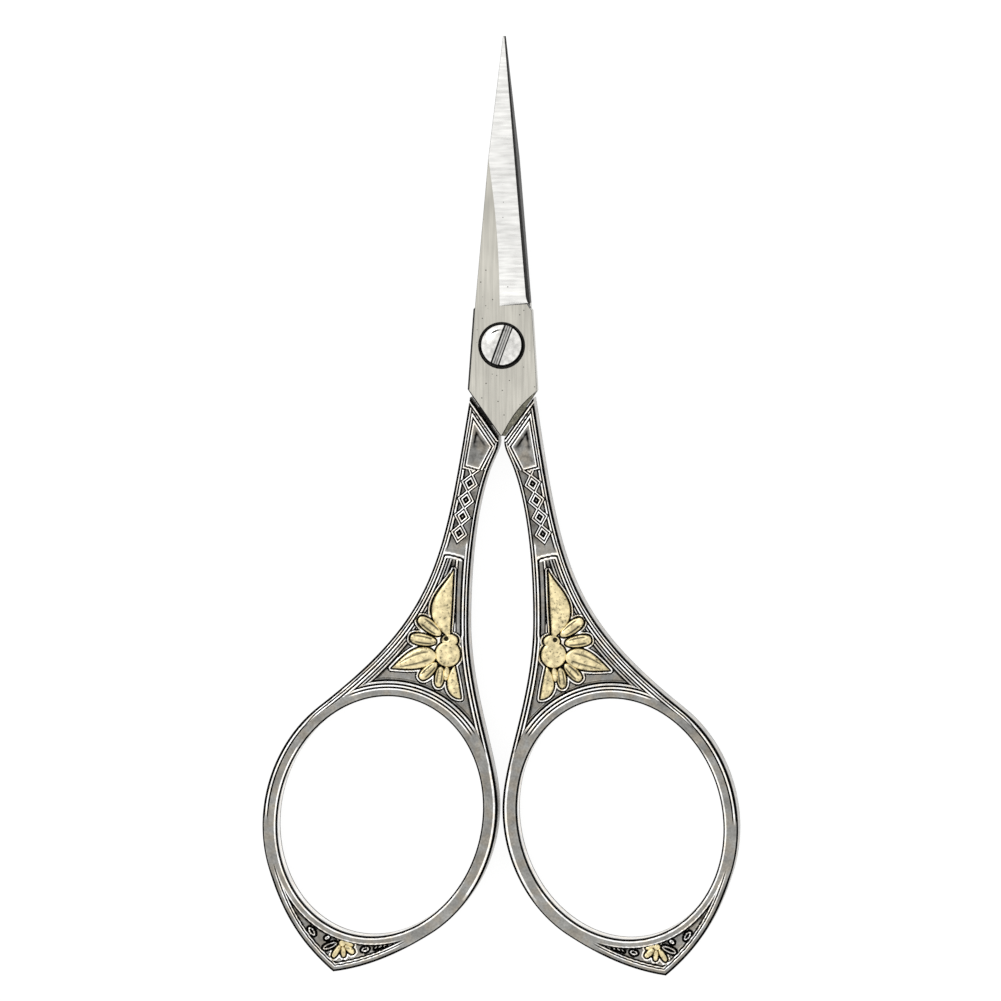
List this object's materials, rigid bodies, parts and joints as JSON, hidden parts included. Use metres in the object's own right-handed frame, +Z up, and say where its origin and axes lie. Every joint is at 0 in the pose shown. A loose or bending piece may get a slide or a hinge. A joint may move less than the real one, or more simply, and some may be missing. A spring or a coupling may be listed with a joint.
{
  "type": "embroidery scissors",
  "caption": "Slim fine-pointed thread scissors with relief-cast handles, gilt floral ornament, pointed spurs and a slotted pivot screw.",
  "frame": {"origin": "on the pivot's axis, in the plane that the closed scissors rest on", "axes": "+Y towards the blades' tips, +Z up out of the resting plane along the pivot, +X towards the front half's handle"},
  "size_m": [0.0584, 0.1151, 0.0051],
  "materials": {
    "blade_steel": "brushed, with a bright cross-ground bevel",
    "cast_metal": "antiqued nickel plating, dark in the recesses and rubbed bright on the ridges",
    "screw_steel": "bright polished",
    "gilding": "pale worn gilding on the raised ornament"
  },
  "bodies": {
    "back_half": {"back_blade": "blade_steel", "back_handle": "cast_metal"},
    "front_half": {"front_blade": "blade_steel", "front_handle": "cast_metal"},
    "screw": {"pivot_screw": "screw_steel"}
  },
  "joints": [
    {"name": "blade_pivot", "type": "hinge", "parent": "back_half", "child": "front_half", "pos_m": [0, 0, 0], "axis": [0, 0, 1], "range_deg": [0, 118]},
    {"name": "tension_screw", "type": "hinge", "parent": "back_half", "child": "screw", "pos_m": [0, 0, 0], "axis": [0, 0, 1], "range_deg": [-45, 45]}
  ]
}
